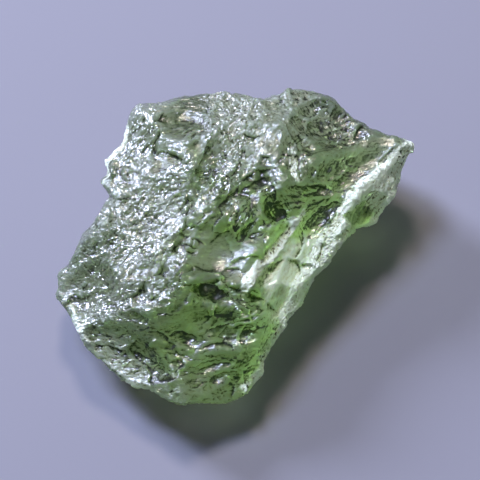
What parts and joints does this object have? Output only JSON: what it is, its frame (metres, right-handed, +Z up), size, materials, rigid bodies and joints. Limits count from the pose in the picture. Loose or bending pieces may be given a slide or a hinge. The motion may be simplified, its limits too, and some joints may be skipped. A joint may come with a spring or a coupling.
{
  "type": "raw moldavite stone",
  "caption": "Raw see-through green glass stone with an etched, chipped face, thin edges and a pointed corner, lying flat.",
  "frame": {"origin": "on the resting face, under the middle of the stone", "axes": "+Z up from the surface it lies on; +X to the right along the broad face; +Y towards its upper edge"},
  "size_m": [0.0281, 0.0281, 0.0098],
  "materials": {
    "tektite_glass": "natural etched glass, see-through bottle green"
  },
  "bodies": {
    "root": {"moldavite": "tektite_glass"}
  },
  "joints": []
}
